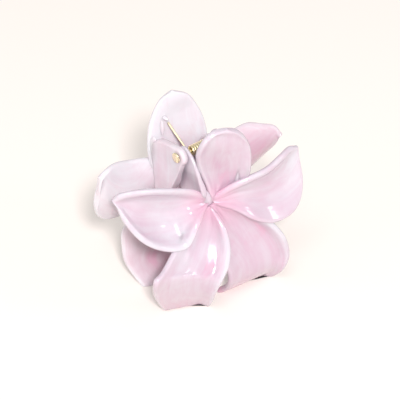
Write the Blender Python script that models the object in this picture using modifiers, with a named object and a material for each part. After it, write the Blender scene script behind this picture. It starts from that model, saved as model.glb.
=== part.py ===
"""Flower claw clip: two moulded flower jaws on one pin, closed by a torsion spring.

World frame, metres: X runs along the hinge pin, the front jaw is on -Y, Z is up.
The clip stands on the flat ends of its four claw petals, which touch Z = 0.
Petal outlines are given in millimetres from the hinge centre and built up from there.
"""
import math

import bmesh
import bpy
import numpy as np
from mathutils import Matrix, Vector

MM = 0.001
HINGE_HEIGHT = 58.5          # hinge centre above the table
PETAL_THICKNESS = 2.3        # moulded wall of a petal
FOOT_OVERRUN = 2.0           # claw petals run this far past the table before they are cut flat

EAR_HOLE_RADIUS = 1.05
EAR_BEVEL = 0.25
OUTER_EAR = (7.1, 9.6)       # span along X of the ear on the +X side of the front jaw
OUTER_EAR_RADIUS = 3.4       # rounded end of that ear
INNER_EAR = (-6.85, -5.45)   # span along X of the ear on the -X side of the front jaw
INNER_EAR_RADIUS = 2.8

PIN_RADIUS = 0.75
PIN_HEAD_RADIUS = 1.85
PIN_HEAD_START = 9.9         # underside of a pin head
PIN_HEAD_HEIGHT = 0.75

WIRE_RADIUS = 0.4
COIL_RADIUS = 1.5            # coil centre line about the pin
COIL_HALF_LENGTH = 3.75
COIL_TURNS = 8
LEG_ANGLE = math.radians(31.4)   # how far the coil runs on past whole turns at each end
LEG_LENGTH = 13.1

# Each petal: its leading rim, its trailing rim (throat to tip, mm from the hinge centre)
# and how deep the petal is dished between the rims as a share of its width there.
PETALS = {
    "lever": (
        [(-1.5, -7.5, -17.5), (-2.5, -6.5, -11.5), (-5.5, -6.5, -3.5), (-8.5, -8.5, 5),
         (-8.5, -11.5, 12), (-5.5, -13, 15), (-0.5, -15, 15.5)],
        [(0.5, -8.5, -17.5), (6.5, -11, -15.5), (10, -13.5, -11.5), (10.5, -15, -3.5),
         (9, -15.5, 5.5), (4.5, -16, 12.5), (-0.5, -15, 15.5)],
        [0.05, 0.08, 0.06, 0.02, -0.03, 0, 0]),
    "right": (
        [(-0.5, -7.5, -16), (4, -12.5, -11), (9.5, -15.5, -8.5), (16.5, -17, -7),
         (23, -16.5, -5), (28, -15, -4.5), (32, -14, -6)],
        [(-1, -9, -19), (4, -14, -21.5), (9.5, -18.5, -25.5), (18, -20.5, -29.5),
         (27, -21, -28), (32, -19, -20.5), (32, -14, -6)],
        [0.1, 0.22, 0.25, 0.22, 0.18, 0.12, 0]),
    "claw_right": (
        [(0, -8, -18), (7.5, -12.5, -21.5), (16, -16.5, -28), (22, -19, -36.5),
         (24.5, -19.5, -45), (24, -18.5, -50.5), (23.8, -15.5, -55), (22.5, -9, -61)],
        [(-2.5, -9, -18.5), (-2.2, -12.4, -26.2), (-3, -15, -33), (-3.5, -16.5, -38),
         (-1.5, -17.5, -43), (1, -17.5, -48.5), (2.8, -13.5, -54), (2.6, -5.5, -61)],
        [0.1, 0.15, 0.15, 0.12, 0.08, 0.04, 0.02, 0]),
    "claw_left": (
        [(-1, -8.5, -19.5), (-1, -14.5, -24.5), (-1.5, -18, -30.5), (-4, -20.5, -36.5),
         (-7, -20.5, -41.5), (-7.5, -18, -47.5), (-6, -15, -53), (-4, -10, -60.5)],
        [(-3.5, -8, -18.5), (-9.5, -7.5, -21.5), (-17.5, -9.5, -27), (-26, -13, -31.5),
         (-31.5, -14.5, -34), (-29.5, -11, -42), (-24.5, -7, -51), (-18, -2.5, -60.5)],
        [0.1, 0.15, 0.16, 0.14, 0.1, 0.06, 0.03, 0]),
    "left": (
        [(-3.5, -8.5, -19), (-11, -12.5, -22), (-15.5, -12, -28.5), (-23, -9.5, -27.5),
         (-30, -6.5, -22), (-33.5, -1, -15), (-34.5, 4, -8)],
        [(-1.5, -6.5, -16.5), (-9, -6, -10.5), (-17.5, -5.5, -6.5), (-25, -4, -4),
         (-29.5, -0.5, -4.5), (-33, 2, -5.5), (-34.5, 4, -8)],
        [0.1, 0.22, 0.26, 0.24, 0.2, 0.15, 0]),
}
# The back flower is moulded a little differently: its lever leans and its right claw is narrower.
BACK_PETALS = dict(
    PETALS,
    lever=(
        [(-1.5, -7.5, -17.5), (-3.5, -6.6, -11.5), (-8.8, -6.6, -4), (-9.4, -8.5, 3.1),
         (-8, -11, 9), (-5.2, -12.4, 13.4), (-0.5, -15, 15.5)],
        *PETALS["lever"][1:]),
    claw_right=(
        [(0, -8, -18), (7, -12, -21.5), (14.5, -15.5, -28), (19.9, -17, -35.8),
         (20.4, -17, -42.5), (20.2, -16, -48.5), (18.5, -13.5, -54), (15.5, -8.5, -61)],
        [(-2.5, -9, -18.5), (-2.2, -12.4, -26.2), (-3, -15, -33), (-4, -16.5, -38),
         (-4, -17.5, -43), (-3, -17, -48.5), (-1, -13.5, -54), (0.5, -5.5, -61)],
        PETALS["claw_right"][2]),
)
GRID_LENGTH = 8              # grid cells along a petal
GRID_WIDTH = 4               # grid cells across a petal

# Side outlines of the ears (Y, Z in mm from the pin), after the round end about the pin.
OUTER_EAR_BACK = [(-5, -12.5), (-12, -16.5), (-11.8, -8), (-13.4, -3), (-13.2, 0), (-9, 1.9)]
INNER_EAR_BACK = [(2.6, -6), (3.2, -11), (1.5, -16), (-3, -18), (-8, -17.5), (-7.4, -8),
                  (-7.6, -2), (-6, 0.5), (-4, 1.8)]

SEAT_POSITION = (4.2, -12.9, 7.0)    # where the spring leg bears on a jaw


def clear_scene():
    """Remove everything the start-up file holds."""
    for item in list(bpy.data.objects):
        bpy.data.objects.remove(item, do_unlink=True)


def new_collection(name, hidden=False):
    """Make a collection in the scene; a hidden one holds the cutting tools."""
    collection = bpy.data.collections.new(name)
    collection.hide_render = hidden
    bpy.context.scene.collection.children.link(collection)
    return collection


def material(name, colour, roughness, metallic=0.0, coat=0.0):
    """One Principled material with its colour in linear values."""
    mat = bpy.data.materials.new(name)
    mat.use_nodes = True
    shader = mat.node_tree.nodes["Principled BSDF"]
    shader.inputs["Base Color"].default_value = (*colour, 1.0)
    shader.inputs["Roughness"].default_value = roughness
    shader.inputs["Metallic"].default_value = metallic
    shader.inputs["Coat Weight"].default_value = coat
    mat.diffuse_color = (*colour, 1.0)
    return mat


def move_to(obj, collection):
    """Keep the object in one collection only."""
    for owner in list(obj.users_collection):
        owner.objects.unlink(obj)
    collection.objects.link(obj)
    return obj


def spline_through(points, place):
    """Catmull-Rom curve through the points; place runs 0 to 1 along it."""
    points = np.asarray(points, float)
    last = len(points) - 1
    ends = np.vstack([2 * points[0] - points[1], points, 2 * points[-1] - points[-2]])
    step = np.clip(place, 0, 1) * last
    index = np.minimum(step.astype(int), last - 1)
    t = (step - index)[:, None]
    a, b, c, d = ends[index], ends[index + 1], ends[index + 2], ends[index + 3]
    return 0.5 * (2 * b + (c - a) * t + (2 * a - 5 * b + 4 * c - d) * t**2
                  + (3 * b - a - 3 * c + d) * t**3)


def petal_points(leading, trailing, dish, along, across):
    """Points of a dished petal; across runs -1 at the leading rim to 1 at the trailing rim."""
    near = spline_through(leading, along)
    far = spline_through(trailing, along)
    depth = spline_through(np.array(dish, float)[:, None], along)[:, 0]
    ahead = np.clip(along + 0.002, 0, 1)
    behind = np.clip(along - 0.002, 0, 1)
    rib = (spline_through(leading, ahead) + spline_through(trailing, ahead)
           - spline_through(leading, behind) - spline_through(trailing, behind))
    chord = far - near
    width = np.linalg.norm(chord, axis=1)
    inward = np.cross(rib, chord)
    inward /= np.linalg.norm(inward, axis=1)[:, None]
    sag = depth * width * (1 - np.abs(across)**2.2)
    return (near + far) / 2 + chord * (across / 2)[:, None] + inward * sag[:, None]


def petal(name, leading, trailing, dish, collection):
    """A grid pulled to the petal shape, thickened to the moulded wall and rounded."""
    bpy.ops.mesh.primitive_grid_add(
        x_subdivisions=GRID_LENGTH, y_subdivisions=GRID_WIDTH, size=2)
    obj = move_to(bpy.context.object, collection)
    obj.name = name
    flat = np.empty(len(obj.data.vertices) * 3)
    obj.data.vertices.foreach_get("co", flat)
    flat = flat.reshape(-1, 3)
    pointed = np.allclose(leading[-1], trailing[-1])
    along = (flat[:, 0] + 1) / 2 * (0.975 if pointed else 1.0)
    shape = petal_points(leading, trailing, dish, along, flat[:, 1])
    shape[:, 2] += HINGE_HEIGHT
    obj.data.vertices.foreach_set("co", (shape * MM).ravel())
    solidify = obj.modifiers.new("wall", "SOLIDIFY")
    solidify.thickness = PETAL_THICKNESS * MM
    solidify.offset = 0.0
    rounding = obj.modifiers.new("rounding", "SUBSURF")
    rounding.levels = 1
    rounding.render_levels = 1
    return freeze(obj)


def freeze(obj):
    """Apply the modifiers, weld doubles and turn the faces outward."""
    graph = bpy.context.evaluated_depsgraph_get()
    mesh = bpy.data.meshes.new_from_object(obj.evaluated_get(graph))
    mesh.transform(obj.matrix_world)
    obj.modifiers.clear()
    obj.matrix_world = Matrix.Identity(4)
    work = bmesh.new()
    work.from_mesh(mesh)
    bmesh.ops.remove_doubles(work, verts=work.verts, dist=0.00002)
    bmesh.ops.recalc_face_normals(work, faces=work.faces)
    work.to_mesh(mesh)
    work.free()
    if obj.type == "MESH":
        obj.data = mesh
        return obj
    solid = bpy.data.objects.new(obj.name + "_solid", mesh)
    obj.users_collection[0].objects.link(solid)
    bpy.data.objects.remove(obj, do_unlink=True)
    return solid


def round_end(radius, stop, count=11):
    """Points of the ear's round end about the pin, from straight up to the stop angle (degrees)."""
    angles = np.radians(np.linspace(95, stop, count))
    return [(radius * math.cos(a), radius * math.sin(a)) for a in angles]


def plate(name, outline, holes, span, collection):
    """A bevelled plate in the YZ plane made from a filled flat curve."""
    curve = bpy.data.curves.new(name, "CURVE")
    curve.dimensions = "2D"
    curve.fill_mode = "BOTH"
    curve.extrude = ((span[1] - span[0]) / 2 - EAR_BEVEL) * MM
    curve.bevel_depth = EAR_BEVEL * MM
    curve.bevel_resolution = 1
    curve.offset = -EAR_BEVEL * MM
    for ring in [outline] + holes:
        spline = curve.splines.new("POLY")
        spline.points.add(len(ring) - 1)
        spline.use_cyclic_u = True
        for point, (y, z) in zip(spline.points, ring):
            point.co = (y * MM, z * MM, 0, 1)
    obj = bpy.data.objects.new(name, curve)
    collection.objects.link(obj)
    middle = (span[0] + span[1]) / 2 * MM
    obj.matrix_world = Matrix(((0, 0, 1, middle), (1, 0, 0, 0), (0, 1, 0, HINGE_HEIGHT * MM),
                               (0, 0, 0, 1)))
    bpy.context.view_layer.update()
    return freeze(obj)


def pin_hole(name, span, collection):
    """Cutter for the pin hole through one ear."""
    length = (span[1] - span[0] + 2) * MM
    middle = ((span[0] + span[1]) / 2 * MM, 0, HINGE_HEIGHT * MM)
    bpy.ops.mesh.primitive_cylinder_add(
        vertices=32, radius=EAR_HOLE_RADIUS * MM, depth=length, location=middle,
        rotation=(0, math.pi / 2, 0))
    obj = move_to(bpy.context.object, collection)
    obj.name = name
    return freeze(obj)


def egg(name, centre, radii, collection):
    """A stretched ball."""
    bpy.ops.mesh.primitive_uv_sphere_add(segments=12, ring_count=8, radius=1.0)
    obj = move_to(bpy.context.object, collection)
    obj.name = name
    place = Vector(centre) + Vector((0, 0, HINGE_HEIGHT))
    obj.matrix_world = Matrix.Translation(place * MM) @ Matrix.Diagonal(
        (radii[0] * MM, radii[1] * MM, radii[2] * MM, 1.0))
    bpy.context.view_layer.update()
    return freeze(obj)


def box(name, low, high, collection):
    """A plain block between two corners given from the hinge centre."""
    bpy.ops.mesh.primitive_cube_add(size=1.0)
    obj = move_to(bpy.context.object, collection)
    obj.name = name
    low = Vector(low) + Vector((0, 0, HINGE_HEIGHT))
    high = Vector(high) + Vector((0, 0, HINGE_HEIGHT))
    size = (high - low) * MM
    obj.matrix_world = Matrix.Translation((low + high) / 2 * MM) @ Matrix.Diagonal((*size, 1.0))
    bpy.context.view_layer.update()
    return freeze(obj)


def combine(target, tool, operation):
    """Exact boolean of one solid with another; the tool stays hidden in its collection."""
    change = target.modifiers.new(operation.lower(), "BOOLEAN")
    change.operation = operation
    change.solver = "EXACT"
    change.use_self = operation == "UNION"
    change.object = tool
    tool.hide_render = True
    tool.display_type = "WIRE"
    freeze(target)
    bpy.data.objects.remove(tool, do_unlink=True)


def tidy_mesh(obj, smooth_angle=40):
    """Weld, drop slivers, turn normals outward and shade the rounded faces smooth."""
    work = bmesh.new()
    work.from_mesh(obj.data)
    bmesh.ops.remove_doubles(work, verts=work.verts, dist=0.00001)
    bmesh.ops.dissolve_degenerate(work, edges=work.edges, dist=0.00001)
    bmesh.ops.triangulate(work, faces=work.faces)
    bmesh.ops.recalc_face_normals(work, faces=work.faces)
    work.to_mesh(obj.data)
    work.free()
    obj.data.shade_smooth()
    obj.data.set_sharp_from_angle(angle=math.radians(smooth_angle))


def flower_jaw(name, petals, collection, tools, mat):
    """One moulding: five petals, throat, two ears and the spring seat, feet cut flat."""
    jaw = egg(name, (-1.3, -6.0, -17.4), (4.3, 2.4, 4.2), collection)
    for petal_name, (leading, trailing, dish) in petals.items():
        combine(jaw, petal(petal_name, leading, trailing, dish, tools), "UNION")
    outer = OUTER_EAR_BACK + round_end(OUTER_EAR_RADIUS, -50)
    inner = INNER_EAR_BACK + round_end(INNER_EAR_RADIUS, -60)
    for ear_name, span, outline in (("outer_ear", OUTER_EAR, outer),
                                    ("inner_ear", INNER_EAR, inner)):
        combine(jaw, plate(ear_name, outline, [], span, tools), "UNION")
        combine(jaw, pin_hole(ear_name + "_hole", span, tools), "DIFFERENCE")
    x, y, z = SEAT_POSITION
    post = egg("seat_post", (x, y, z), (1.0, 1.8, 0.8), tools)
    rib = egg("seat_rib", (x + 1.9, y + 0.5, z - 3.0), (0.5, 1.9, 3.6), tools)
    combine(jaw, post, "UNION")
    combine(jaw, rib, "UNION")
    foot = box("foot_cut", (-60, -60, -HINGE_HEIGHT - 10), (60, 60, -HINGE_HEIGHT), tools)
    combine(jaw, foot, "DIFFERENCE")
    tidy_mesh(jaw)
    jaw.data.materials.clear()
    jaw.data.materials.append(mat)
    return hang_on_hinge(jaw)


def hang_on_hinge(obj):
    """Move the object's origin to the hinge centre without moving its shape."""
    centre = Vector((0, 0, HINGE_HEIGHT * MM))
    obj.data.transform(Matrix.Translation(-centre))
    obj.location = centre
    return obj


def spring_path():
    """Centre line of the wire: one leg, the coil, the other leg (mm from hinge centre)."""
    end_angle = COIL_TURNS * 2 * math.pi + LEG_ANGLE
    turn = np.linspace(-LEG_ANGLE, end_angle, COIL_TURNS * 12 + 3)
    x = COIL_HALF_LENGTH * (1 - 2 * (turn + LEG_ANGLE) / (end_angle + LEG_ANGLE))
    coil = np.stack([x, COIL_RADIUS * np.sin(turn), -COIL_RADIUS * np.cos(turn)], axis=1)
    back = np.array([0.0, math.cos(LEG_ANGLE), math.sin(LEG_ANGLE)])
    reach = np.linspace(1, LEG_LENGTH, 6)[:, None]
    end_leg = coil[-1] + back * reach
    start_leg = (coil[0] + back * (1, -1, 1) * reach)[::-1]
    return np.vstack([start_leg, coil, end_leg])


def torsion_spring(collection, tools, mat):
    """Round wire swept along the coil and both legs."""
    curve = bpy.data.curves.new("wire", "CURVE")
    curve.dimensions = "3D"
    curve.bevel_depth = WIRE_RADIUS * MM
    curve.bevel_resolution = 2
    curve.use_fill_caps = True
    path = spring_path()
    spline = curve.splines.new("POLY")
    spline.points.add(len(path) - 1)
    for point, (x, y, z) in zip(spline.points, path):
        point.co = (x * MM, y * MM, (z + HINGE_HEIGHT) * MM, 1)
    obj = bpy.data.objects.new("torsion_spring", curve)
    tools.objects.link(obj)
    bpy.context.view_layer.update()
    spring = move_to(freeze(obj), collection)
    spring.name = "torsion_spring"
    tidy_mesh(spring, 60)
    spring.data.materials.append(mat)
    return hang_on_hinge(spring)


def hinge_pin(collection, mat):
    """A pin with a domed head at each end, turned from its half outline."""
    dome = np.linspace(0, math.pi / 2, 6)
    rise = PIN_HEAD_HEIGHT - 0.3
    head = [(PIN_HEAD_RADIUS * math.cos(a), PIN_HEAD_START + 0.3 + rise * math.sin(a))
            for a in dome[:-1]]
    end = (0.0, PIN_HEAD_START + PIN_HEAD_HEIGHT)
    upper = [(PIN_RADIUS, PIN_HEAD_START), (PIN_HEAD_RADIUS, PIN_HEAD_START)] + head + [end]
    lower = [(r, -h) for r, h in reversed(upper)]
    mesh = bpy.data.meshes.new("hinge_pin")
    rim = [(0, r * MM, h * MM) for r, h in lower + upper]
    mesh.from_pydata(rim, [(i, i + 1) for i in range(len(rim) - 1)], [])
    pin = bpy.data.objects.new("hinge_pin", mesh)
    collection.objects.link(pin)
    turned = pin.modifiers.new("turned", "SCREW")
    turned.axis = "Z"
    turned.steps = 28
    turned.render_steps = 28
    turned.use_merge_vertices = True
    turned.merge_threshold = 0.00001
    to_axis = Matrix.Rotation(math.pi / 2, 4, "Y")
    pin.matrix_world = Matrix.Translation((0, 0, HINGE_HEIGHT * MM)) @ to_axis
    bpy.context.view_layer.update()
    freeze(pin)
    tidy_mesh(pin, 40)
    pin.data.materials.append(mat)
    return hang_on_hinge(pin)


def build():
    """Build the four pieces of the clip."""
    clear_scene()
    clip = new_collection("flower_claw_clip")
    tools = new_collection("cutting_tools", hidden=True)
    plastic = material("pink_marbled_plastic_front", (0.84, 0.68, 0.75), 0.18, coat=0.5)
    plastic_back = material("pink_marbled_plastic_back", (0.84, 0.68, 0.75), 0.18, coat=0.5)
    gold = material("gold_plated_wire", (0.80, 0.58, 0.25), 0.25, metallic=1.0)
    gold_pin = material("gold_plated_pin", (0.80, 0.58, 0.25), 0.22, metallic=1.0)
    flower_jaw("front_jaw", PETALS, clip, tools, plastic)
    back = flower_jaw("back_jaw", BACK_PETALS, clip, tools, plastic_back)
    back.rotation_euler = (0, 0, math.pi)
    torsion_spring(clip, tools, gold)
    hinge_pin(clip, gold_pin)


build()
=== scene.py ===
import math

import bpy
import mathutils
import numpy as np
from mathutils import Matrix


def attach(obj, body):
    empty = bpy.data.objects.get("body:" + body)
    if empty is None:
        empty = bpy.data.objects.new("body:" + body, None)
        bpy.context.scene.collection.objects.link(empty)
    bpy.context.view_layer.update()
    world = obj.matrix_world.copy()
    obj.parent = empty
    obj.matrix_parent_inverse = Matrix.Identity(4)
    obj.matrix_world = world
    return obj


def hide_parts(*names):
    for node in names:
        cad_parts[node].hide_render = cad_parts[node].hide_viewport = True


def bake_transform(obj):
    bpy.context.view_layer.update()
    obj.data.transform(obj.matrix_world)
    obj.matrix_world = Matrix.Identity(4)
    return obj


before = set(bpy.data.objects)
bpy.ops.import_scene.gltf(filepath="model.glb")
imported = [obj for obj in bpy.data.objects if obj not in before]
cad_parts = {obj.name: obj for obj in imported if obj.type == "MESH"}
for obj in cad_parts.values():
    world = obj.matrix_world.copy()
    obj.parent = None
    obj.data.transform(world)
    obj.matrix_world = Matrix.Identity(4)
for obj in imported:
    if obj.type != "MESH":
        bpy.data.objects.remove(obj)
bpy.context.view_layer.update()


# --- Front jaw -----------------------------------------------------------------------------------
# One injection-moulded half of the clip: five cupped petals round a throat, two hinge ears and the
# seat of the spring leg, all one shot of marbled pink and white acrylic, glossy from the polished
# mould. The upper petal is the finger lever; the two lower ones curl in as claws, cut flat below.

MM = 0.001
hinge_height = 58.5          # the pin's axis above the table, in mm; petals are measured from it
wall = 2.3                   # moulded wall of a petal
rim_radius = 1.15            # round of a petal's rim
cup_power = 2.2              # how flat the floor of a petal's cup is
roll_reach = 5.0             # how far in from a rim its outward roll starts
full_roll_width = 14.0       # a narrower petal rolls less
vein_depth = 0.10
ear_edge_round = 0.9
ear_bore_round = 0.25
slope_step = 0.004           # share of a petal's length over which its slope is measured

# Rims run from the throat to the tip. Dish is the petal's depth as a share of its width, lip the
# step inside each rim and roll how far each rim turns outward. White is the share of white melt,
# and each pool changes it round one place: (along, across, reach along, reach across, change).
# Where the share falls below nothing, the pink deepens. Most pools tint the melt; the shade pools
# marked below paint shade instead, darkening the share where shadow falls on the petal.
petals = {
    "lever": dict(
        leading=[(-1.5, -7.5, -17.5), (-2.5, -6.5, -11.5), (-5.5, -6.5, -3.5), (-8.5, -8.5, 5),
                 (-8.5, -11.5, 12), (-5.5, -13, 15), (-0.5, -15, 15.5)],
        trailing=[(0.5, -8.5, -17.5), (6.5, -11, -15.5), (10, -13.5, -11.5), (10.5, -15, -3.5),
                  (9, -15.5, 5.5), (4.5, -16, 12.5), (-0.5, -15, 15.5)],
        dish=[0.05, 0.08, 0.06, 0.02, -0.03, 0, 0],
        lip=(0.5, 0.3), roll=(0.5, 0.3), white=0.4,
        pools=[(0.3, 0.1, 0.25, 0.7, -0.45), (0.75, 0.0, 0.2, 0.6, 0.1)]),
    "right": dict(
        leading=[(-0.5, -7.5, -16), (4, -12.5, -11), (9.5, -15.5, -8.5), (16.5, -17, -7),
                 (23, -16.5, -5), (28, -15, -4.5), (32, -14, -6)],
        trailing=[(-1, -9, -19), (4, -14, -21.5), (9.5, -18.5, -25.5), (18, -20.5, -29.5),
                  (27, -21, -28), (32, -19, -20.5), (32, -14, -6)],
        dish=[0.1, 0.22, 0.25, 0.22, 0.18, 0.12, 0],
        lip=(0.2, 0.1), roll=(0.2, -1.2), white=0.45,
        # Painted shade: the first pool darkens the lower rim near the throat, where the petal turns
        # away into shadow over the right claw.
        pools=[(0.2, 0.6, 0.2, 0.5, -0.5), (0.9, -0.2, 0.2, 0.8, 0.55),
               (0.5, 0.2, 0.2, 0.4, -0.12)]),
    "claw_right": dict(
        leading=[(0, -8, -18), (7.5, -12.5, -21.5), (16, -16.5, -28), (22, -19, -36.5),
                 (24.5, -19.5, -45), (24, -18.5, -50.5), (23.8, -15.5, -55), (22.5, -9, -61)],
        trailing=[(-2.5, -9, -18.5), (-2.2, -12.4, -26.2), (-3, -15, -33), (-3.5, -16.5, -38),
                  (-1.5, -17.5, -43), (-0.3, -16.5, -48.5), (1, -13, -54), (1.4, -5.5, -61)],
        dish=[0.1, 0.15, 0.15, 0.12, 0.08, 0.04, 0.02, 0],
        lip=(0.7, 0.2), roll=(1.2, -0.4), white=0.16,
        pools=[(0.4, -0.65, 0.25, 0.14, -0.35), (0.3, -0.95, 0.3, 0.16, 0.55),
               # Painted shade: this pool darkens the claw's curled-under foot to deep pink, as it sits
               # in shadow.
               (1.0, 0.8, 0.16, 1.0, -1.1)]),
    "claw_left": dict(
        leading=[(-1, -8.5, -19.5), (-1, -14.5, -24.5), (-1.5, -18, -30.5), (-4, -20.5, -36.5),
                 (-7, -20.5, -41.5), (-7.5, -18, -47.5), (-6, -15, -53), (-4, -10, -60.5)],
        trailing=[(-3.5, -8, -18.5), (-9.5, -7.5, -21.5), (-17.5, -9.5, -27), (-26, -13, -31.5),
                  (-31.5, -14.5, -34), (-29.5, -11, -42), (-24.5, -7, -51), (-18, -2.5, -60.5)],
        dish=[0.1, 0.15, 0.16, 0.14, 0.1, 0.06, 0.03, 0],
        lip=(0.8, 0.3), roll=(0.8, -0.4), white=0.42,
        pools=[(0.45, -0.5, 0.2, 0.2, -0.6), (0.4, -0.95, 0.35, 0.14, 0.3),
               (1.0, 0.1, 0.16, 1.0, -0.3), (0.55, 0.1, 0.2, 0.3, 0.15)]),
    "left": dict(
        leading=[(-3.5, -8.5, -19), (-11, -12.5, -22), (-15.5, -12, -28.5), (-23, -9.5, -27.5),
                 (-30, -6.5, -22), (-33.5, -1, -15), (-34.5, 4, -8)],
        trailing=[(-1.5, -6.5, -16.5), (-9, -6, -10.5), (-17.5, -5.5, -6.5), (-25, -4, -4),
                  (-29.5, -0.5, -4.5), (-33, 2, -5.5), (-34.5, 4, -8)],
        dish=[0.1, 0.22, 0.26, 0.24, 0.2, 0.15, 0],
        lip=(0.7, 0.7), roll=(0.5, 1.3), white=0.5,
        pools=[(0.75, 0.3, 0.12, 0.3, -0.15), (0.4, -0.2, 0.2, 0.4, 0.12)]),
}


def spline_through(points, place):
    """Catmull-Rom curve: each span is the cubic whose slope at a point is half the step between the
    points on either side of it; place runs 0 to 1 over all spans."""
    points = np.asarray(points, float)
    last = len(points) - 1
    ends = np.concatenate([[2 * points[0] - points[1]], points, [2 * points[-1] - points[-2]]])
    step = np.clip(place, 0, 1) * last
    index = np.minimum(step.astype(int), last - 1)
    t = (step - index)[..., None]
    a, b, c, d = ends[index], ends[index + 1], ends[index + 2], ends[index + 3]
    return 0.5 * (2 * b + (c - a) * t + (2 * a - 5 * b + 4 * c - d) * t**2
                  + (3 * b - a - 3 * c + d) * t**3)


def smooth_step(value):
    """3 t^2 - 2 t^3 with t held between 0 and 1."""
    t = np.clip(value, 0, 1)
    return t * t * (3 - 2 * t)


def unit(vectors):
    """Each vector divided by its length."""
    return vectors / np.maximum(np.linalg.norm(vectors, axis=-1, keepdims=True), 1e-9)


def petal_sheet(petal, along, across):
    """Middle of the petal's wall: the straight line between the rims, pushed inward by
    dish * width * (1 - |across|^cup_power) and turned outward near each rim by
    roll * (1 - d / roll_reach)^2, where d is the distance from that rim. Gives points and width."""
    lead, trail = spline_through(petal["leading"], along), spline_through(petal["trailing"], along)
    depth = spline_through(np.array(petal["dish"])[:, None], along)[..., 0]
    ahead = np.clip(along + slope_step, 0, 1)
    behind = np.clip(along - slope_step, 0, 1)
    rib = (spline_through(petal["leading"], ahead) + spline_through(petal["trailing"], ahead)
           - spline_through(petal["leading"], behind) - spline_through(petal["trailing"], behind))
    chord = trail - lead
    width = np.linalg.norm(chord, axis=-1)
    inward = unit(np.cross(rib, chord))
    push = depth * width * (1 - np.abs(across)**cup_power)
    for side, roll in zip((-1, 1), petal["roll"]):
        from_rim = (1 - side * across) * width / 2
        turned = np.clip(1 - from_rim / roll_reach, 0, 1)**2
        push = push - roll * turned * smooth_step(width / full_roll_width)
    return (lead + trail) / 2 + chord * across[..., None] / 2 + inward * push[..., None], width


def foot_reach(petal, across):
    """How far along each strip of a claw petal the table plane lies, by halving the interval."""
    low, high = np.full(across.shape, 0.8), np.ones(across.shape)
    for _ in range(18):
        middle = (low + high) / 2
        above = petal_sheet(petal, middle, across)[0][..., 2] > -hinge_height
        low, high = np.where(above, middle, low), np.where(above, high, middle)
    return low


def ring_faces(rows, columns, start=0, rows_close=False, poles=None):
    """Quads over a grid of rings; poles are the two corner numbers that close the first and last."""
    row = np.arange(rows if rows_close else rows - 1)[:, None]
    column = np.arange(columns)[None, :]
    below, beside = (row + 1) % rows, (column + 1) % columns
    corners = [row * columns + column, row * columns + beside,
               below * columns + beside, below * columns + column]
    faces = (np.stack(np.broadcast_arrays(*corners), -1).reshape(-1, 4) + start).tolist()
    if poles:
        first = np.arange(columns)
        second = (first + 1) % columns
        last = (rows - 1) * columns + start
        faces += np.stack([second + start, first + start, 0 * first + poles[0]], -1).tolist()
        faces += np.stack([first + last, second + last, 0 * first + poles[1]], -1).tolist()
    return faces


def petal_shell(petal, rows=76, columns=104):
    """Closed skin of one petal. Rings go once round the wall: out along the front face from rim to
    rim and home along the back. The half wall is a quarter round within rim_radius of a rim or the
    tip, the front face steps down inside the lips, and fine veins fan out from the throat."""
    foot = not np.allclose(petal["leading"][-1], petal["trailing"][-1])
    turn = np.linspace(0, 2 * np.pi, columns, endpoint=False)
    place = np.linspace(0, 1, rows)
    place = place if foot else 0.998 * (1 - (1 - place)**1.6)
    along, across = np.meshgrid(place, -np.cos(turn), indexing="ij")
    face = np.sign(np.sin(turn) + 1e-9)[None, :]
    if foot:
        along = along * foot_reach(petal, across[0])[None, :]
    middle, width = petal_sheet(petal, along, across)
    ahead = petal_sheet(petal, np.clip(along + slope_step, 0, 1), across)[0]
    behind = petal_sheet(petal, np.clip(along - slope_step, 0, 1 - 2 * slope_step), across)[0]
    wide = petal_sheet(petal, along, np.clip(across + 0.02, -1, 1))[0]
    narrow = petal_sheet(petal, along, np.clip(across - 0.02, -1, 1))[0]
    outward = -unit(np.cross(ahead - behind, wide - narrow))
    length = np.linalg.norm(np.diff(middle[:, columns // 4], axis=0), axis=1)
    travelled = np.concatenate([[0], np.cumsum(length)])[:, None]
    to_tip = np.full(along.shape, 99.0) if foot else (travelled[-1] - travelled) + 0 * along
    from_rim = np.minimum((1 - np.abs(across)) * width / 2, to_tip)
    inside = 1 - np.clip(from_rim / rim_radius, 0, 1)
    half_wall = wall / 2 * np.sqrt(np.maximum(1 - inside**2, 0))
    lean = smooth_step(0.5 + across / 1.2)
    lip = petal["lip"][0] * (1 - lean) + petal["lip"][1] * lean
    step_down = lip * smooth_step((from_rim - 0.6) / 3.4)
    vein = vein_depth * np.cos(15 * across + 3 * along) * smooth_step(from_rim / 4) * (1 - along)
    front = np.where(face > 0, half_wall - step_down + vein, -half_wall)
    points = middle + outward * front[..., None]
    if foot:
        points[..., 2] = np.maximum(points[..., 2], -hinge_height)
        points[-1, :, 2] = -hinge_height
        tip = points[-1].mean(axis=0)
    else:
        tip = np.array(petal["leading"][-1], float)
    root = points[0].mean(axis=0)
    skin = np.concatenate([points.reshape(-1, 3), [root, tip]])
    white = petal["white"] + 0.5 * lip * (1 - smooth_step((from_rim - 0.2) / 1.8))
    # Pools tint the white share; the shade pools paint shade by pushing it below nothing.
    for place_u, place_v, reach_u, reach_v, change in petal["pools"]:
        white = white + change * np.exp(-((along - place_u) / reach_u)**2
                                        - ((across - place_v) / reach_v)**2)
    marks = np.stack([along, white, across * width / 2, travelled + 0 * along], -1)
    marks = np.concatenate([marks.reshape(-1, 4), marks[0].mean(axis=0)[None],
                            marks[-1].mean(axis=0)[None]])
    count = rows * columns
    return skin, ring_faces(rows, columns, 0, False, (count, count + 1)), marks


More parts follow.
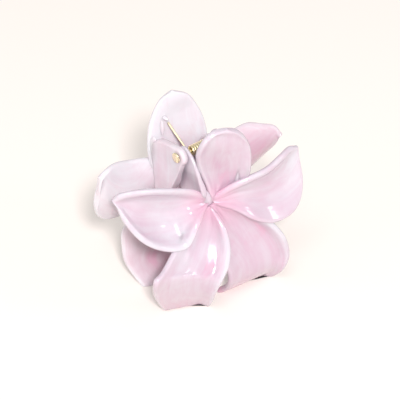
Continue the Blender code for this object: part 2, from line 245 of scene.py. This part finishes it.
def ball_shell(centre, radii, rows=24, columns=36):
    """A stretched ball: centre + radii * (cos a sin b, sin a sin b, cos b), closed at two poles."""
    b, a = np.meshgrid(np.linspace(0, np.pi, rows + 2)[1:-1],
                       np.linspace(0, 2 * np.pi, columns, endpoint=False), indexing="ij")
    around = np.stack([np.cos(a) * np.sin(b), np.sin(a) * np.sin(b), np.cos(b)], -1)
    ends = np.array([[0, 0, 1], [0, 0, -1.0]])
    points = np.array(centre) + np.concatenate([around.reshape(-1, 3), ends]) * np.array(radii)
    count = rows * columns
    return points, ring_faces(rows, columns, 0, False, (count, count + 1))


def ear_shell(span, outline, hole, flare=0.0, lean=0.0, turns=180, section=44):
    """A hinge ear: the space between the pin hole and the ear's outline, swept round the pin. The
    half thickness is the quarter round sqrt(1 - (1 - d / ear_edge_round)^2) near the outline; past
    7 mm from the pin it grows by flare into the petal, and from 3 mm to 14 mm below the pin the ear
    comes to lean sideways by lean."""
    ends = np.array(outline + outline[:1], float)
    fine = np.linspace(0, len(outline), 40 * len(outline), endpoint=False)
    index = fine.astype(int)
    path = ends[index] + (ends[index + 1] - ends[index]) * (fine - index)[:, None]
    bearing = np.arctan2(path[:, 1], path[:, 0])
    order = np.argsort(bearing)
    angle = np.linspace(-np.pi, np.pi, turns, endpoint=False)[:, None]
    reach = np.interp(angle, bearing[order], np.hypot(path[:, 0], path[:, 1])[order],
                      period=2 * np.pi)
    reach = np.mean([np.roll(reach, shift, axis=0) for shift in range(-3, 4)], axis=0)
    around = np.linspace(0, 2 * np.pi, section, endpoint=False)[None, :] + 0.01
    radius = (reach + hole) / 2 + (reach - hole) / 2 * np.cos(around)
    outer = 1 - np.clip((reach - radius) / ear_edge_round, 0, 1)
    inner = 1 - np.clip((radius - hole) / ear_bore_round, 0, 1)
    half = (span[1] - span[0]) / 2 + flare * smooth_step((radius - 7) / 7)
    half = half * np.sqrt((1 - outer**2) * (1 - inner**2))
    y, z = radius * np.cos(angle), radius * np.sin(angle)
    x = (span[0] + span[1]) / 2 + half * np.sign(np.sin(around)) + lean * smooth_step(-(z + 3) / 11)
    points = np.stack([x, y, z], -1)
    return points.reshape(-1, 3), ring_faces(turns, section, 0, True)


def turned_out(points, faces):
    """The faces, reversed if the solid they close comes out with a negative volume."""
    total = 0.0
    for size in (3, 4):
        some = [f for f in faces if len(f) == size]
        if some:
            p = points[np.array(some)]
            total += np.einsum("ij,ij->i", p[:, 0], np.cross(p[:, 1], p[:, 2])).sum()
            if size == 4:
                total += np.einsum("ij,ij->i", p[:, 0], np.cross(p[:, 2], p[:, 3])).sum()
    return faces if total > 0 else [f[::-1] for f in faces]


def round_end(start, stop, radius, count=24):
    """Points of an ear's round end about the pin, between two angles in degrees."""
    angle = np.radians(np.linspace(start, stop, count))
    return [tuple(p) for p in np.stack([radius * np.cos(angle), radius * np.sin(angle)], -1)]


ear_hole = 1.05
outer_ear = dict(
    span=(7.1, 9.6), hole=ear_hole, flare=0.8,
    outline=[(-4.5, -18.5), (-12, -22), (-12.7, -10), (-13.6, -4), (-13.1, 0.2), (-9, 1.9)]
    + round_end(100, -50, 3.4))
inner_ear = dict(
    span=(-6.85, -5.45), hole=ear_hole, flare=0.4, lean=2.2,
    outline=[(-1, -20), (-8, -19), (-7.4, -9), (-7.4, -5), (-6, -1.5), (-4, 0.6)]
    + round_end(110, -50, 2.8) + [(4.0, -6), (5.4, -11), (5.0, -17.5)])
# Thick places of the moulding: centre and half widths of a stretched ball for each.
throat = (-1.3, -5.8, -17.5), (4.6, 2.7, 4.4)
seat_post = (4.2, -12.9, 7.0), (0.7, 1.6, 0.65)
seat_rib = (6.1, -12.4, 4.0), (0.4, 1.0, 3.0)
ear_fillet = (9.3, -12.8, -4.5), (1.0, 2.4, 6.0)


def flower_jaw(petals):
    """All the shells of one jaw in one mesh: its points, faces and, for each point, its share of
    the petal's length, share of white melt with painted shade from the shade pools, mm across and
    mm along the petal."""
    shells = [petal_shell(petal) for petal in petals.values()]
    for points, faces in (
            ball_shell(*throat), ball_shell(*seat_post), ball_shell(*seat_rib),
            ball_shell(*ear_fillet), ear_shell(**outer_ear), ear_shell(**inner_ear)):
        # From 3 mm to 18 mm below the pin the melt grows pinker.
        below = np.clip((-points[:, 2] - 3) / 15, 0, 1)
        marks = np.stack([0.42 - 0.2 * below, 0.7 - 0.2 * below, points[:, 1], points[:, 2]], -1)
        shells.append((points, faces, marks))
    all_faces, start = [], 0
    for points, faces, marks in shells:
        all_faces += [[corner + start for corner in face] for face in turned_out(points, faces)]
        start += len(points)
    return (np.concatenate([shell[0] for shell in shells]), all_faces,
            np.concatenate([shell[2] for shell in shells]))


def new_piece(name, points, faces, smooth_angle=50):
    """A mesh object at the origin from points in mm measured from the hinge centre."""
    mesh = bpy.data.meshes.new(name)
    mesh.from_pydata(((points + (0, 0, hinge_height)) * MM).tolist(), [], faces)
    mesh.validate()
    mesh.shade_smooth()
    mesh.set_sharp_from_angle(angle=math.radians(smooth_angle))
    piece = bpy.data.objects.new(name, mesh)
    bpy.context.scene.collection.objects.link(piece)
    return piece


def mark_jaw(piece, marks):
    """Store on each point its share of the petal's length, its share of white melt, lowered by the
    painted shade of the shade pools, and its place along and across the petal in mm, which the
    melt's streaks follow."""
    melt_and_shade = piece.data.attributes.new("melt_and_shade", "FLOAT_VECTOR", "POINT")
    melt_and_shade.data.foreach_set("vector", marks[:, [0, 1, 1]].astype(np.float32).ravel())
    flow = piece.data.attributes.new("melt_flow", "FLOAT_VECTOR", "POINT")
    flow.data.foreach_set("vector", marks[:, [3, 2, 1]].astype(np.float32).ravel())


def linear(code):
    """An sRGB hex colour in linear light: c / 12.92 below 0.04045, else ((c + 0.055) / 1.055)^2.4."""
    parts = np.array([int(code[i:i + 2], 16) for i in (1, 3, 5)]) / 255
    light = np.where(parts <= 0.04045, parts / 12.92, ((parts + 0.055) / 1.055)**2.4)
    return (*light.tolist(), 1.0)


def add_node(tree, kind, inputs=None, **settings):
    """Add one node, set its properties, and give its sockets values or other nodes' outputs."""
    node = tree.nodes.new(kind)
    for name, value in settings.items():
        setattr(node, name, value)
    for socket, value in (inputs or {}).items():
        if isinstance(value, bpy.types.NodeSocket):
            tree.links.new(value, node.inputs[socket])
        else:
            node.inputs[socket].default_value = value
    return node


def marbled_acrylic(name, pink, white, gate_share):
    """Injection-moulded acrylic with a pearl white melt streaked into a pink one: near the gate at
    the throat, by gate_share, and wherever the white runs out it is deep pink, which is also
    painted shade where the shade pools push the white below nothing; thin rims and tips
    come out milky white. Polished mould, so a clear gloss, and light goes 2 or 3 mm into it."""
    mat = bpy.data.materials.new(name)
    mat.use_nodes = True
    tree = mat.node_tree
    shader = tree.nodes["Principled BSDF"]
    melt_and_shade = add_node(tree, "ShaderNodeAttribute", attribute_name="melt_and_shade")
    spread = add_node(tree, "ShaderNodeSeparateXYZ", {0: melt_and_shade.outputs["Vector"]})
    flow = add_node(tree, "ShaderNodeAttribute", attribute_name="melt_flow")
    coordinates = add_node(tree, "ShaderNodeTexCoord")
    # Streaks of melt, about 4 mm wide and 25 mm long, pulled along each petal.
    stretched = add_node(tree, "ShaderNodeMapping", {
        "Vector": flow.outputs["Vector"], "Scale": (0.04, 0.26, 3.0)})
    streaks = add_node(tree, "ShaderNodeTexNoise", {
        "Vector": stretched.outputs[0], "Scale": 1.0, "Detail": 4.0, "Roughness": 0.6,
        "Distortion": 1.2})
    # Clouds of unmixed white, about 12 mm across.
    clouds = add_node(tree, "ShaderNodeTexNoise", {
        "Vector": coordinates.outputs["Object"], "Scale": 85.0, "Detail": 4.0, "Roughness": 0.55,
        "Distortion": 0.8})
    swirl = add_node(tree, "ShaderNodeMath", {
        0: streaks.outputs[0], 1: clouds.outputs[0]}, operation="ADD")
    marble = add_node(tree, "ShaderNodeMapRange", {
        "Value": swirl.outputs[0], "From Min": 0.75, "From Max": 1.25, "To Min": -0.3,
        "To Max": 0.3})
    melted = add_node(tree, "ShaderNodeMath", {
        0: spread.outputs["Y"], 1: marble.outputs[0]}, operation="ADD")
    share = add_node(tree, "ShaderNodeClamp", {0: melted.outputs[0]})
    # Below nothing the pink deepens: the melt's own deep pink, and painted shade where a shade pool
    # pushes the share down.
    deep = add_node(tree, "ShaderNodeMapRange", {
        "Value": melted.outputs[0], "From Min": 0.0, "From Max": -0.5, "To Min": 0.0, "To Max": 0.9})
    body = add_node(tree, "ShaderNodeMix", {
        0: share.outputs[0], 6: linear(pink), 7: linear(white)}, data_type="RGBA")
    gate = add_node(tree, "ShaderNodeMapRange", {
        "Value": spread.outputs["X"], "From Min": 0.0, "From Max": 0.3, "To Min": gate_share,
        "To Max": 0.0}, interpolation_type="SMOOTHSTEP")
    deepest = add_node(tree, "ShaderNodeMath", {
        0: gate.outputs[0], 1: deep.outputs[0]}, operation="MAXIMUM")
    colour = add_node(tree, "ShaderNodeMix", {
        0: deepest.outputs[0], 6: body.outputs[2], 7: linear("#cd99b0")}, data_type="RGBA")
    tree.links.new(colour.outputs[2], shader.inputs["Base Color"])
    gloss = add_node(tree, "ShaderNodeMapRange", {
        "Value": clouds.outputs[0], "From Min": 0.3, "From Max": 0.7, "To Min": 0.17,
        "To Max": 0.26})
    tree.links.new(gloss.outputs[0], shader.inputs["Roughness"])
    # Sink marks and flow ripple of the moulding, about 4 mm apart and a few hundredths of 1 mm deep.
    ripple = add_node(tree, "ShaderNodeBump", {
        "Strength": 0.25, "Distance": 0.0001, "Height": streaks.outputs[0]})
    tree.links.new(ripple.outputs[0], shader.inputs["Normal"])
    shader.inputs["IOR"].default_value = 1.49
    shader.inputs["Subsurface Weight"].default_value = 0.35
    shader.inputs["Subsurface Radius"].default_value = (1.0, 0.75, 0.82)
    shader.inputs["Subsurface Scale"].default_value = 0.0025
    shader.inputs["Coat Weight"].default_value = 0.4
    shader.inputs["Coat Roughness"].default_value = 0.06
    return mat


jaw_points, jaw_faces, jaw_marks = flower_jaw(petals)
front = new_piece("front_flower_jaw", jaw_points, jaw_faces)
mark_jaw(front, jaw_marks)
front.data.materials.append(marbled_acrylic("marbled pink acrylic, front moulding",
                                          "#c2a8b8", "#c8c3cb", 0.75))
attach(front, "front_jaw_body")
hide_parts("front_jaw")


# --- Back jaw ------------------------------------------------------------------------------------
# The second half, turned half a turn about the upright so that its ears nest beside the first
# jaw's ears; it is the half that swings. The same acrylic with more of the white melt in it, and
# its mould differs a little: the lever leans to one side and the right claw is narrower.

back_petals = {name: dict(petal) for name, petal in petals.items()}
back_petals["lever"].update(
    leading=[(-1.5, -7.5, -17.5), (-3.5, -6.6, -11.5), (-8.8, -6.6, -4), (-9.4, -8.5, 3.1),
             (-8, -11, 9), (-5.2, -12.4, 13.4), (-0.5, -15, 15.5)],
    lip=(0.3, 0.3), white=0.95, pools=[(0.3, 0, 0.2, 1, -0.4)])
back_petals["right"].update(white=0.95, pools=[(0.6, 0.7, 0.3, 0.3, -0.25),
                                               (0.25, 0, 0.2, 1, -0.4)])
back_petals["claw_right"].update(
    leading=[(0, -8, -18), (7, -12, -21.5), (14.5, -15.5, -28), (19.9, -17, -35.8),
             (20.4, -17, -42.5), (20.2, -16, -48.5), (18.5, -13.5, -54), (15.5, -8.5, -61)],
    trailing=[(-2.5, -9, -18.5), (-2.2, -12.4, -26.2), (-3, -15, -33), (-4, -16.5, -38),
              (-4, -17.5, -43), (-3, -17, -48.5), (-1, -13.5, -54), (0.5, -5.5, -61)],
    white=0.6, pools=[(0.8, 0.05, 0.22, 0.8, -0.8)])
back_petals["claw_left"].update(white=0.6)
back_petals["left"].update(white=0.2, pools=[(0.7, 0.2, 0.3, 0.4, -0.3)])

jaw_points, jaw_faces, jaw_marks = flower_jaw(back_petals)
back = new_piece("back_flower_jaw", jaw_points * (-1, -1, 1), jaw_faces)
mark_jaw(back, jaw_marks)
back.data.materials.append(marbled_acrylic("marbled pink acrylic, back moulding",
                                         "#cbb0bc", "#d3ced4", 0.3))
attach(back, "back_jaw_body")
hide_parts("back_jaw")


# --- Torsion spring ------------------------------------------------------------------------------
# Hard-drawn steel wire, 0.8 mm, wound eight turns round the pin between the inner ears, with one
# straight leg up to each lever petal. Flash-plated in pale gold; it pushes the levers apart.

wire_radius = 0.4
coil_radius = 1.5
coil_half = 3.75
coil_turns = 8
leg_lean = math.radians(31.4)
leg_length = 13.1


def wire_path(per_turn=40, per_leg=26):
    """A leg, a helix of coil_radius about the pin and the other leg: the helix is
    (x, r sin a, -r cos a) with x falling evenly, and each leg runs on along its end's tangent."""
    end = coil_turns * 2 * np.pi + leg_lean
    turn = np.linspace(-leg_lean, end, coil_turns * per_turn + 9)
    x = coil_half * (1 - 2 * (turn + leg_lean) / (end + leg_lean))
    coil = np.stack([x, coil_radius * np.sin(turn), -coil_radius * np.cos(turn)], -1)
    reach = leg_length * np.linspace(0, 1, per_leg)[1:, None]
    lean = np.array([0, math.cos(leg_lean), math.sin(leg_lean)])
    return np.concatenate([(coil[0] + lean * (1, -1, 1) * reach)[::-1], coil,
                           coil[-1] + lean * reach])


def wire_skin(path, radius, columns=16):
    """Round wire: at each point of the path the ring (cos a, sin a) lies across the tangent, with
    the ends drawn in to small rounded caps."""
    tangent = unit(np.gradient(path, axis=0))
    side = unit(np.cross(tangent, [1.0, 0, 0]))
    up = np.cross(side, tangent)
    angle = np.linspace(0, 2 * np.pi, columns, endpoint=False)
    ring = side[:, None] * np.cos(angle)[:, None] + up[:, None] * np.sin(angle)[:, None]
    swell = np.ones(len(path))
    swell[[0, -1]] = 0.82
    points = (path[:, None] + ring * radius * swell[:, None, None]).reshape(-1, 3)
    ends = [path[0] - tangent[0] * 0.06, path[-1] + tangent[-1] * 0.06]
    count = len(path) * columns
    points = np.concatenate([points, ends])
    return points, turned_out(points, ring_faces(len(path), columns, 0, False,
                                                 (count, count + 1)))


def gold_plate(name, roughness):
    """Thin bright gold plating over drawn steel: pale yellow metal, bright but with the fine die
    lines of the drawn wire, which soften its reflections a little."""
    mat = bpy.data.materials.new(name)
    mat.use_nodes = True
    tree = mat.node_tree
    shader = tree.nodes["Principled BSDF"]
    coordinates = add_node(tree, "ShaderNodeTexCoord")
    # Wear and handling, patches about 1.5 mm across.
    wear = add_node(tree, "ShaderNodeTexNoise", {
        "Vector": coordinates.outputs["Object"], "Scale": 650.0, "Detail": 3.0})
    colour = add_node(tree, "ShaderNodeMix", {
        0: wear.outputs[0], 6: linear("#f8e8bb"), 7: linear("#fdf4da")}, data_type="RGBA")
    tree.links.new(colour.outputs[2], shader.inputs["Base Color"])
    gloss = add_node(tree, "ShaderNodeMapRange", {
        "Value": wear.outputs[0], "From Min": 0.3, "From Max": 0.7, "To Min": roughness,
        "To Max": roughness + 0.08})
    tree.links.new(gloss.outputs[0], shader.inputs["Roughness"])
    # Die lines, 0.1 mm apart, too fine to show as lines.
    lines = add_node(tree, "ShaderNodeTexNoise", {
        "Vector": coordinates.outputs["Object"], "Scale": 9000.0, "Detail": 1.0})
    scratch = add_node(tree, "ShaderNodeBump", {
        "Strength": 0.12, "Distance": 0.00002, "Height": lines.outputs[0]})
    tree.links.new(scratch.outputs[0], shader.inputs["Normal"])
    shader.inputs["Metallic"].default_value = 1.0
    return mat


wire_points, wire_faces = wire_skin(wire_path(), wire_radius)
spring = new_piece("gold_torsion_spring", wire_points, wire_faces)
spring.data.materials.append(gold_plate("pale gold plated spring wire", 0.36))
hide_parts("torsion_spring")
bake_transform(spring)


# --- Hinge pin -----------------------------------------------------------------------------------
# A 1.5 mm steel pin through the four ears and the coil, headed over at both ends into low domes.
# Gold plated like the spring; it stays with the front jaw.

pin_radius = 0.75
head_radius = 1.85
head_start = 9.9
head_height = 0.75
head_rim = 0.3               # upright edge of the head, below the dome


def pin_profile():
    """Half outline (radius, distance along the axis): shaft, flat underside of the head, a short
    upright rim, then a dome whose height falls as the cosine of the angle; mirrored for the
    other end."""
    dome = np.linspace(0, np.pi / 2, 14)[:-1]
    rim = [(pin_radius, 0.0), (pin_radius, head_start), (head_radius - 0.12, head_start),
           (head_radius, head_start + 0.1), (head_radius, head_start + head_rim)]
    top = np.stack([head_radius * np.cos(dome),
                    head_start + head_rim + (head_height - head_rim) * np.sin(dome)], -1)[1:]
    half = np.concatenate([rim, top])
    return np.concatenate([half[::-1] * (1, -1), half[1:]])


def turned_skin(profile, columns=48):
    """The profile carried round the X axis, closed at a pole on each end."""
    angle = np.linspace(0, 2 * np.pi, columns, endpoint=False)
    radius = profile[:, 0][:, None]
    points = np.stack([profile[:, 1][:, None] + 0 * angle, radius * np.cos(angle),
                       radius * np.sin(angle)], -1).reshape(-1, 3)
    tip = head_start + head_height
    points = np.concatenate([points, [[-tip, 0, 0], [tip, 0, 0]]])
    count = len(profile) * columns
    return points, turned_out(points, ring_faces(len(profile), columns, 0, False,
                                                 (count, count + 1)))


pin = new_piece("gold_hinge_pin", *turned_skin(pin_profile()), smooth_angle=40)
pin.data.materials.append(gold_plate("pale gold plated pin", 0.18))
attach(pin, "front_jaw_body")
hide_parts("hinge_pin")


# --- Table and light -----------------------------------------------------------------------------
# A plain cream opal table top, lit a little from below, and soft light all round. Two softboxes and
# a wide fill give the gloss; the key lamp, right of the camera, draws the shadow at the clip's left.

table_mesh = bpy.data.meshes.new("table_top")
half_table = 1.5             # metres
table_level = -0.0002        # a hair below the cut claw feet
table_mesh.from_pydata([(-half_table, -half_table, table_level), (half_table, -half_table, table_level),
                        (half_table, half_table, table_level), (-half_table, half_table, table_level)],
                       [], [(0, 1, 2, 3)])
table = bpy.data.objects.new("table_top", table_mesh)
bpy.context.scene.collection.objects.link(table)

opal = bpy.data.materials.new("backlit opal acrylic, cream")
opal.use_nodes = True
opal_shader = opal.node_tree.nodes["Principled BSDF"]
opal_shader.inputs["Base Color"].default_value = linear("#dcd3cd")
opal_shader.inputs["Roughness"].default_value = 0.9
opal_shader.inputs["Specular IOR Level"].default_value = 0.1
opal_shader.inputs["Emission Color"].default_value = linear("#fffdfc")
opal_shader.inputs["Emission Strength"].default_value = 0.2
table_mesh.materials.append(opal)

room = bpy.data.worlds.new("soft room")
room.use_nodes = True
room.node_tree.nodes["Background"].inputs["Color"].default_value = (1.0, 0.99, 0.98, 1)
room.node_tree.nodes["Background"].inputs["Strength"].default_value = 0.53
bpy.context.scene.world = room
bpy.context.scene.view_settings.view_transform = "Standard"


def aim(item, place, target):
    """Put a lamp or camera at place, looking at target, with its top up, and add it to the scene.
    Both points are in mm."""
    forward = unit(np.array(target, float) - np.array(place, float))
    right = unit(np.cross(forward, [0, 0, 1.0]))
    top = np.cross(right, forward)
    turn = np.stack([right, top, -forward], 1)
    matrix = np.eye(4)
    matrix[:3, :3] = turn
    matrix[:3, 3] = np.array(place) * MM
    item.matrix_world = mathutils.Matrix(matrix.tolist())
    bpy.context.scene.collection.objects.link(item)


def around(azimuth, elevation, distance, target):
    """The point at that distance from the target; azimuth 0 is on the -Y side, 90 on +X."""
    a, e = math.radians(azimuth), math.radians(elevation)
    back = np.array([math.sin(a) * math.cos(e), -math.cos(a) * math.cos(e), math.sin(e)])
    return np.array(target) + back * distance


def softbox(name, azimuth, elevation, distance, wide, high, watts, target=(0, 0, 35)):
    """A rectangular soft light facing the clip; sizes in mm."""
    lamp = bpy.data.lights.new(name, "AREA")
    lamp.shape = "RECTANGLE"
    lamp.size, lamp.size_y = wide * MM, high * MM
    lamp.energy = watts
    aim(bpy.data.objects.new(name, lamp), around(azimuth, elevation, distance, target), target)


softbox("window_softbox", azimuth=-52, elevation=57, distance=2500, wide=900, high=700, watts=12)
softbox("right_softbox", azimuth=30, elevation=23, distance=2500, wide=420, high=300, watts=5)
softbox("left_fill", azimuth=-100, elevation=20, distance=2500, wide=1600, high=1200, watts=8)
softbox("key_lamp", azimuth=-33.5, elevation=39.5, distance=1500, wide=160, high=160, watts=20)

view_target = (-6.5, -8.3, 43.9)
view_distance = 700
view_azimuth, view_elevation = -40, 36
camera_data = bpy.data.cameras.new("camera")
camera_data.sensor_width = 36
camera_data.lens = 185.3
camera = bpy.data.objects.new("camera", camera_data)
aim(camera, around(view_azimuth, view_elevation, view_distance, view_target), view_target)
bpy.context.scene.camera = camera
